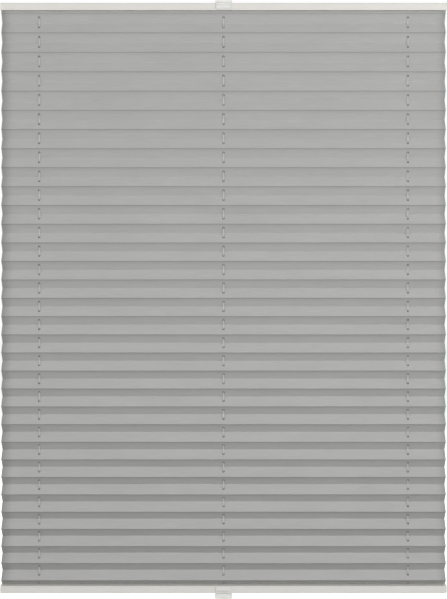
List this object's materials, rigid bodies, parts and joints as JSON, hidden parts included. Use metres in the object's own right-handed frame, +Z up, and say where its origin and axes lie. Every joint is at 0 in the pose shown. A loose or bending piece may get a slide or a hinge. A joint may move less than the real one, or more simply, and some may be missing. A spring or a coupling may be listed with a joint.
{
  "type": "pleated blind",
  "caption": "Pleated window blind: grey folded cloth between two slim off-white rails that slide along tight cords, each with a small handle at its middle.",
  "frame": {"origin": "middle of the top rail's top face, where the middle cord ends", "axes": "+X along the rails to the right, -Y to the front where the handles are, +Z up along the cords"},
  "size_m": [0.75, 0.0306, 1.0186],
  "materials": {
    "pleat_cloth": "matte",
    "cord_braid": "matte",
    "rail_coat": "satin",
    "cap_plastic": "satin",
    "strip_plastic": "matte",
    "handle_plastic": "satin",
    "guide_plastic": "satin",
    "pin_steel": "satin"
  },
  "bodies": {
    "window_cords": {"cord_left": "cord_braid", "cord_centre": "cord_braid", "cord_right": "cord_braid", "pleated_fabric": "pleat_cloth"},
    "top_rail": {"top_rail": "rail_coat", "top_end_cap_left": "cap_plastic", "top_end_cap_right": "cap_plastic", "top_fabric_strip": "strip_plastic", "top_handle": "handle_plastic", "top_cord_guide_left": "guide_plastic", "top_cord_guide_centre": "guide_plastic", "top_cord_guide_right": "guide_plastic", "top_guide_pins": "pin_steel", "top_crossing_cord_front": "cord_braid", "top_crossing_cord_rear": "cord_braid"},
    "bottom_rail": {"bottom_rail": "rail_coat", "bottom_end_cap_left": "cap_plastic", "bottom_end_cap_right": "cap_plastic", "bottom_fabric_strip": "strip_plastic", "bottom_handle": "handle_plastic", "bottom_cord_guide_left": "guide_plastic", "bottom_cord_guide_centre": "guide_plastic", "bottom_cord_guide_right": "guide_plastic", "bottom_guide_pins": "pin_steel", "bottom_crossing_cord_front": "cord_braid", "bottom_crossing_cord_rear": "cord_braid"}
  },
  "joints": [
    {"name": "top_rail_slide", "type": "slide", "parent": "window_cords", "child": "top_rail", "axis": [0, 0, 1], "range_m": [-0.9, 0], "deforming": ["pleated_fabric"]},
    {"name": "bottom_rail_slide", "type": "slide", "parent": "window_cords", "child": "bottom_rail", "axis": [0, 0, 1], "range_m": [0, 0.9], "deforming": ["pleated_fabric"]}
  ]
}
